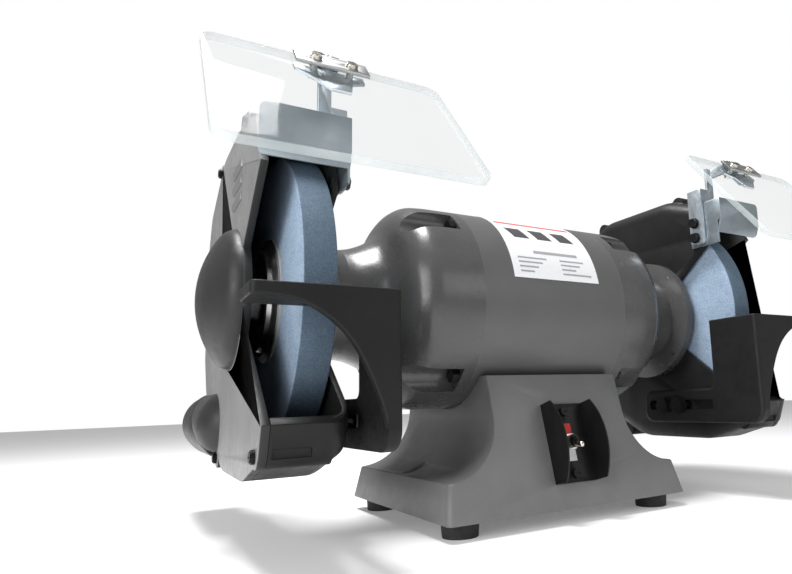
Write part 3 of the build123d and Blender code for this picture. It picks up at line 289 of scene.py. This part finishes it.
def brushed(name, dark, light, rough_low, rough_high, stretch, strength=0.12):
    """Metal with fine lines along one axis."""
    s = Shader(name, metallic=1.0)
    lines = s.noise(1.0, 3.0, 0.6, s.stretched(stretch))
    s.color(s.blend(s.span(lines, 0.25, 0.75, 0.0, 1.0), dark, light))
    s.rough(s.span(lines, 0.25, 0.75, rough_low, rough_high))
    s.bump(lines, strength, 0.0001)
    return s


def turned_steel():
    """Turned faces with concentric tool lines around the shaft."""
    s = Shader("steel", metallic=1.0)
    waves = s.math("SINE", s.math("MULTIPLY", s.radius(), TOOL_LINES))
    cloud = s.noise(60.0, 3.0, 0.6)
    s.color(s.blend(s.span(cloud, 0.3, 0.7, 0.0, 1.0), (0.36, 0.36, 0.36), (0.55, 0.55, 0.54)))
    s.rough(s.span(cloud, 0.3, 0.7, 0.26, 0.42))
    s.bump(waves, 0.08, 0.00005)
    return s


def zinc(name, dark, light, rough_low, rough_high):
    """Zinc plate with faint clouding."""
    s = Shader(name, metallic=0.9)
    cloud = s.noise(45.0, 4.0, 0.62)
    s.color(s.blend(s.span(cloud, 0.3, 0.7, 0.0, 1.0), dark, light))
    s.rough(s.span(s.noise(160.0, 3.0, 0.6), 0.3, 0.7, rough_low, rough_high))
    s.bump(s.noise(700.0, 2.0, 0.5), 0.06, 0.0001)
    return s


def moulded(name, dark, light, rough_low, rough_high, grain=1600.0, strength=0.18, specular=0.5):
    """Plastic or rubber with a fine moulded grain."""
    s = Shader(name, specular=specular)
    s.color(s.blend(s.span(s.noise(70.0, 3.0, 0.6), 0.3, 0.7, 0.0, 1.0), dark, light))
    s.rough(s.span(s.noise(300.0, 3.0, 0.6), 0.3, 0.7, rough_low, rough_high))
    s.bump(s.cells(grain), strength, 0.0002)
    return s


def polished(name, color, rough_low, rough_high):
    """Bright metal with faint clouding."""
    s = Shader(name, metallic=1.0)
    cloud = s.noise(400.0, 3.0, 0.6)
    s.color(s.blend(s.span(cloud, 0.3, 0.7, 0.0, 1.0), tuple(0.85 * c for c in color), color))
    s.rough(s.span(cloud, 0.3, 0.7, rough_low, rough_high))
    return s


def acrylic(name, dark, light, alpha, rough_low, rough_high):
    """Clear sheet, see-through by its alpha. A higher alpha makes it milky."""
    s = Shader(name, specular=0.6)
    cloud = s.noise(18.0, 3.0, 0.6)
    s.color(s.blend(s.span(cloud, 0.3, 0.7, 0.0, 1.0), dark, light))
    s.rough(s.span(s.noise(60.0, 3.0, 0.6), 0.3, 0.7, rough_low, rough_high))
    s.bsdf.inputs["Alpha"].default_value = alpha
    return s


def label_film():
    """Silver film of the nameplate, with faint flecks."""
    s = Shader("nameplate", metallic=0.15)
    flecks = s.noise(2500.0, 2.0, 0.6)
    s.color(s.blend(s.span(flecks, 0.3, 0.7, 0.0, 1.0), (0.68, 0.69, 0.71), (0.76, 0.77, 0.78)))
    s.rough(s.span(s.noise(120.0, 3.0, 0.5), 0.3, 0.7, 0.26, 0.36))
    return s


def legend():
    """Switch legend: red above the bushing, bright metal below."""
    s = Shader("legend", metallic=0.2)
    upper = s.span(s.axis("Z"), LEGEND_SPLIT_Z, LEGEND_SPLIT_Z + 0.0004, 0.0, 1.0)
    tone = s.noise(400.0, 3.0, 0.6)
    silver = s.blend(s.span(tone, 0.3, 0.7, 0.0, 1.0), (0.46, 0.46, 0.46), (0.6, 0.6, 0.6))
    red = s.blend(s.span(tone, 0.3, 0.7, 0.0, 1.0), (0.36, 0.012, 0.012), (0.5, 0.02, 0.018))
    s.color(s.blend(upper, silver, red))
    s.rough(s.span(tone, 0.3, 0.7, 0.32, 0.45))
    return s


def card():
    """Blotter paper."""
    s = Shader("paper")
    s.color(s.blend(s.noise(900.0, 4.0, 0.7), (0.34, 0.31, 0.24), (0.5, 0.47, 0.38)))
    s.rough(s.span(s.noise(300.0, 3.0, 0.6), 0.3, 0.7, 0.8, 0.95))
    return s


def enamel_wire():
    """Wound copper wire, with its lines along the shaft."""
    s = Shader("copper", metallic=0.8)
    lines = s.noise(1.0, 2.0, 0.5, s.stretched((250.0, 2200.0, 2200.0)))
    s.color(s.blend(s.span(lines, 0.3, 0.7, 0.0, 1.0), (0.32, 0.12, 0.04), (0.62, 0.27, 0.1)))
    s.rough(s.span(lines, 0.3, 0.7, 0.25, 0.4))
    s.bump(lines, 0.5, 0.0004)
    return s


LOOKS = {
    "base_paint": cast_paint("base_paint", grey(0.11), grey(0.14), 0.36, 0.52),
    "motor_paint": cast_paint("motor_paint", grey(0.068), grey(0.082), 0.36, 0.46, pebble=0.2),
    "bell_paint": cast_paint("bell_paint", grey(0.055), grey(0.07), 0.2, 0.3, pebble=0.16),
    "guard_paint": cast_paint("guard_paint", grey(0.008), grey(0.012), 0.36, 0.5, pebble=0.3, specular=0.22),
    "rest_iron": cast_paint("rest_iron", grey(0.007), grey(0.011), 0.42, 0.58, pebble=0.55, depth=0.0005,
                            specular=0.2),
    "cover_paint": cover_paint(),
    "abrasive": abrasive(),
    "steel": turned_steel(),
    "bearing_steel": polished("bearing_steel", (0.75, 0.75, 0.76), 0.08, 0.16),
    "zinc_steel": zinc("zinc_steel", (0.42, 0.47, 0.52), (0.6, 0.66, 0.7), 0.25, 0.4),
    "zinc_sheet": zinc("zinc_sheet", (0.26, 0.3, 0.33), (0.33, 0.375, 0.4), 0.36, 0.48),
    "plate_steel": zinc("plate_steel", (0.2, 0.2, 0.2), (0.3, 0.3, 0.3), 0.4, 0.55),
    "black_steel": moulded("black_steel", grey(0.004), grey(0.007), 0.3, 0.42, 2200.0, 0.08, 0.22),
    "black_plastic": moulded("black_plastic", grey(0.007), grey(0.014), 0.38, 0.5),
    "can_plastic": moulded("can_plastic", grey(0.03), grey(0.045), 0.4, 0.55),
    "rubber": moulded("rubber", grey(0.008), grey(0.014), 0.65, 0.8),
    "lamination": brushed("lamination", (0.2, 0.2, 0.2), (0.34, 0.34, 0.35), 0.4, 0.55,
                          (2600.0, 60.0, 60.0), 0.4),
    "copper": enamel_wire(),
    "nameplate": label_film(),
    "legend": legend(),
    "nickel": polished("nickel", (0.6, 0.57, 0.52), 0.16, 0.26),
    "aluminium": brushed("aluminium", (0.28, 0.29, 0.29), (0.42, 0.43, 0.42), 0.32, 0.44,
                         (60.0, 3000.0, 3000.0)),
    "acrylic": acrylic("acrylic", (0.2, 0.24, 0.25), (0.26, 0.3, 0.31), 0.1, 0.03, 0.08),
    "paper": card(),
}

slot_of = {row["node"]: row["material_slot"] for row in frame["record"]["subparts"]}
for name, node in nodes.items():
    finish = LOOKS[slot_of[name]].material
    if not node.material_slots:
        node.data.materials.append(finish)
    for holder in node.material_slots:
        holder.material = finish


# ---------------------------------------------------------------- pieces

def new_piece(name, mesh, body, look):
    """A flat-shaded object that rides a body, with a look of its own."""
    piece = bpy.data.objects.new(name, mesh)
    bpy.context.scene.collection.objects.link(piece)
    mesh.materials.clear()
    mesh.materials.append(look)
    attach(piece, body)
    return piece


def plain(name, color, rough_low, rough_high):
    """Paint or ink of one colour, slightly mottled."""
    s = Shader(name)
    mottle = s.span(s.noise(700.0, 3.0, 0.6), 0.3, 0.7, 0.0, 1.0)
    s.color(s.blend(mottle, tuple(0.85 * c for c in color), color))
    s.rough(s.span(s.noise(300.0, 3.0, 0.6), 0.3, 0.7, rough_low, rough_high))
    return s.material


def softened(node, width, angle=38.0):
    """A copy of a CAD node with its sharp edges rounded a little, which stands for the node."""
    source = nodes[node]
    mesh = source.data.copy()
    mesh.name = node + "_soft"
    build = bmesh.new()
    build.from_mesh(mesh)
    bmesh.ops.remove_doubles(build, verts=build.verts, dist=WELD)
    bmesh.ops.dissolve_limit(build, angle_limit=math.radians(FLAT_ANGLE), verts=build.verts,
                             edges=build.edges)
    build.to_mesh(mesh)
    build.free()
    for name in ("custom_normal", "sharp_edge", "sharp_face"):
        if name in mesh.attributes:
            mesh.attributes.remove(mesh.attributes[name])
    piece = bpy.data.objects.new(node + "_soft", mesh)
    bpy.context.scene.collection.objects.link(piece)
    bevel = piece.modifiers.new("round", "BEVEL")
    bevel.width = width
    bevel.segments = BEVEL_SEGMENTS
    bevel.limit_method = "ANGLE"
    bevel.angle_limit = math.radians(angle)
    bevel.use_clamp_overlap = False
    depsgraph = bpy.context.evaluated_depsgraph_get()
    rounded = bpy.data.meshes.new_from_object(piece.evaluated_get(depsgraph))
    piece.modifiers.clear()
    piece.data = rounded
    rounded.shade_smooth()
    rounded.set_sharp_from_angle(angle=math.radians(SMOOTH_ANGLE))
    rounded.materials.clear()
    rounded.materials.append(LOOKS[slot_of[node]].material)
    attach(piece, source["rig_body"])
    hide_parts(node)
    return piece


def wrapped(name, x0, x1, a0, a1, radius, thick, look, lean=0.0):
    """Thin patch of film round the barrel, between two angles above the horizontal on the front.

    Its upper end is moved towards -X by lean."""
    steps = max(2, math.ceil(abs(a1 - a0)))
    mesh = bpy.data.meshes.new(name)
    build = bmesh.new()
    rows = []
    for i in range(steps + 1):
        a = math.radians(a0 + (a1 - a0) * i / steps)
        shift = lean * i / steps
        row = []
        for r in (radius, radius + thick):
            for x in (x0 - shift, x1 - shift):
                row.append(build.verts.new((x, -r * math.cos(a), SHAFT_Z + r * math.sin(a))))
        rows.append(row)
    for low, high in zip(rows, rows[1:]):
        build.faces.new((low[2], low[3], high[3], high[2]))
        build.faces.new((low[0], high[0], high[1], low[1]))
        build.faces.new((low[0], low[2], high[2], high[0]))
        build.faces.new((low[1], high[1], high[3], low[3]))
    for end in (rows[0], rows[-1]):
        build.faces.new((end[0], end[1], end[3], end[2]))
    bmesh.ops.recalc_face_normals(build, faces=build.faces)
    build.to_mesh(mesh)
    build.free()
    return new_piece(name, mesh, "frame", look)


def soften_castings():
    """The castings, the sheet parts and the wheels get slightly rounded edges.

    Known fault: the copies of the guard covers, guard housings and base have stray faces."""
    softened("base_casting", 0.0016)
    softened("switch_guard_plate", 0.0003)
    for side in ("left_", "right_"):
        for name, width in (("guard_cover", 0.0008), ("guard_housing", 0.0008),
                            ("spark_deflector", 0.0003), ("shield_arm", 0.0004),
                            ("shield_bracket", 0.0004), ("shield_clamp_strip", 0.0003),
                            ("grinding_wheel", 0.0005)):
            softened(side + name, width)


def edge_lit_shield(side, edge_look):
    """The window with rounded edges; every face that isn't one of the two large ones is milky."""
    piece = softened(side + "eye_shield", 0.0005, angle=60.0)
    mesh = piece.data
    mesh.materials.append(edge_look)
    largest = max(mesh.polygons, key=lambda face: face.area).normal.copy()
    for face in mesh.polygons:
        if abs(face.normal.dot(largest)) < FACE_ALIGNMENT:
            face.material_index = 1


def barrel_label():
    """Silver label with a red band, a plain dark mark of three slanted bars and rows of small print."""
    red = plain("label_red", (0.62, 0.075, 0.07), 0.3, 0.4)
    ink = plain("label_ink", (0.055, 0.055, 0.06), 0.35, 0.45)
    faint = plain("label_print", (0.3, 0.3, 0.31), 0.35, 0.45)
    film = wrapped("nameplate_film", -FILM_X, FILM_X, *FILM_ANGLES, FILM_R, FILM_T,
                   LOOKS["nameplate"].material)
    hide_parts("nameplate")
    wrapped("label_red_band", -0.046, 0.047, *BAND_ANGLES, LABEL_R, LABEL_INK, red)
    for i in range(3):
        x0 = MARK_X + MARK_STEP * i
        wrapped("label_mark_%d" % i, x0, x0 + MARK_WIDTH, *MARK_ANGLES, LABEL_R, LABEL_INK, ink,
                lean=MARK_LEAN)
    wrapped("label_title", -0.022, 0.032, *TITLE_ANGLES, LABEL_R, LABEL_INK, faint)
    for row in range(PRINT_ROWS):
        angle = PRINT_ANGLE - PRINT_STEP * row
        for column, left, full in PRINT_COLUMNS:
            length = full - PRINT_SHORTER * ((row + (column == "right")) % 4)
            wrapped("label_row_%s_%d" % (column, row), left, left + length, angle, angle + PRINT_HEIGHT,
                    LABEL_R, LABEL_INK, faint)


def emblem(side):
    """Three raised slanted bars on the flat of the cover, above the dome."""
    mesh = bpy.data.meshes.new(side + "cover_emblem")
    build = bmesh.new()
    sign = -1 if side == "left_" else 1
    for i in range(3):
        low = EMBLEM_Z + EMBLEM_STEP * i
        high = low + EMBLEM_HEIGHT
        far = EMBLEM_Y + EMBLEM_LENGTH
        outline = [(EMBLEM_Y, low), (far, low), (far + EMBLEM_LEAN, high), (EMBLEM_Y + EMBLEM_LEAN, high)]
        middle_y = sum(y for y, z in outline) / 4
        middle_z = sum(z for y, z in outline) / 4
        rings = []
        for depth, inset in EMBLEM_LAYERS:
            ring = []
            for y, z in outline:
                y += inset if y < middle_y else -inset
                z += inset if z < middle_z else -inset
                ring.append(build.verts.new((sign * (COVER_FACE + depth), y, z)))
            rings.append(ring)
        for lower, upper in zip(rings, rings[1:]):
            for k in range(4):
                build.faces.new((lower[k], lower[(k + 1) % 4], upper[(k + 1) % 4], upper[k]))
        build.faces.new(rings[0])
        build.faces.new(rings[-1])
    bmesh.ops.recalc_face_normals(build, faces=build.faces)
    build.to_mesh(mesh)
    build.free()
    new_piece(side + "cover_emblem", mesh, nodes[side + "guard_cover"]["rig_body"], emblem_look)


soften_castings()
milky = acrylic("acrylic_edge", (0.42, 0.48, 0.49), (0.62, 0.67, 0.67), 0.45, 0.12, 0.22).material
emblem_look = plain("emblem_paint", (0.13, 0.13, 0.13), 0.35, 0.5)
for side in ("left_", "right_"):
    edge_lit_shield(side, milky)
    emblem(side)
barrel_label()


# ---------------------------------------------------------------- camera, floor and light

def camera():
    """Yaw turns the view from +Y towards +X, and pitch lifts it."""
    yaw = math.radians(YAW)
    pitch = math.radians(PITCH)
    roll = math.radians(ROLL)
    ahead = Vector((math.sin(yaw) * math.cos(pitch), math.cos(yaw) * math.cos(pitch), math.sin(pitch)))
    right = Vector((math.cos(yaw), -math.sin(yaw), 0))
    up = right.cross(ahead)
    turned_right = right * math.cos(roll) + up * math.sin(roll)
    turned_up = -right * math.sin(roll) + up * math.cos(roll)
    data = bpy.data.cameras.new("camera")
    data.lens = LENS
    data.sensor_width = SENSOR
    data.shift_x, data.shift_y = SHIFT
    data.clip_start = 0.01
    eye = bpy.data.objects.new("camera", data)
    bpy.context.scene.collection.objects.link(eye)
    turn = Matrix((turned_right, turned_up, -ahead)).transposed().to_4x4()
    eye.matrix_world = Matrix.Translation(EYE) @ turn
    bpy.context.scene.camera = eye


def soft_light(name, place, target, size, power):
    data = bpy.data.lights.new(name, "AREA")
    data.shape = "RECTANGLE"
    data.size, data.size_y = size
    data.energy = power
    lamp = bpy.data.objects.new(name, data)
    bpy.context.scene.collection.objects.link(lamp)
    lamp.location = place
    lamp.rotation_euler = (Vector(target) - Vector(place)).to_track_quat("-Z", "Y").to_euler()


def backdrop():
    """White to the camera, and dimmer as a source of light."""
    world = bpy.data.worlds.new("studio")
    bpy.context.scene.world = world
    world.use_nodes = True
    tree = world.node_tree
    lit = tree.nodes["Background"]
    lit.inputs["Color"].default_value = (1, 1, 1, 1)
    lit.inputs["Strength"].default_value = AMBIENT
    plain_white = tree.nodes.new("ShaderNodeBackground")
    plain_white.inputs["Color"].default_value = (1, 1, 1, 1)
    plain_white.inputs["Strength"].default_value = 1.0
    path = tree.nodes.new("ShaderNodeLightPath")
    seen = tree.nodes.new("ShaderNodeMath")
    seen.operation = "MAXIMUM"
    tree.links.new(path.outputs["Is Camera Ray"], seen.inputs[0])
    tree.links.new(path.outputs["Is Transmission Ray"], seen.inputs[1])
    choose = tree.nodes.new("ShaderNodeMixShader")
    tree.links.new(seen.outputs[0], choose.inputs[0])
    tree.links.new(lit.outputs[0], choose.inputs[1])
    tree.links.new(plain_white.outputs[0], choose.inputs[2])
    tree.links.new(choose.outputs[0], tree.nodes["World Output"].inputs["Surface"])


def floor_plane():
    """Pale floor that glows a little, so that it meets the white backdrop."""
    mesh = bpy.data.meshes.new("floor")
    corners = [(-FLOOR_REACH, -FLOOR_REACH, 0), (FLOOR_REACH, -FLOOR_REACH, 0),
               (FLOOR_REACH, FLOOR_REACH, 0), (-FLOOR_REACH, FLOOR_REACH, 0)]
    mesh.from_pydata(corners, [], [(0, 1, 2, 3)])
    floor = bpy.data.objects.new("floor", mesh)
    bpy.context.scene.collection.objects.link(floor)
    s = Shader("floor", roughness=0.9, specular=0.1)
    s.color(s.blend(s.noise(3.0, 2.0, 0.5), grey(0.83), grey(0.86)))
    s.bsdf.inputs["Emission Color"].default_value = (1, 1, 1, 1)
    s.bsdf.inputs["Emission Strength"].default_value = FLOOR_GLOW
    mesh.materials.append(s.material)


camera()
backdrop()
for light in LIGHTS:
    soft_light(*light)
floor_plane()
view = bpy.context.scene.view_settings
view.view_transform = "Standard"
view.look = "None"
view.exposure = 0.0
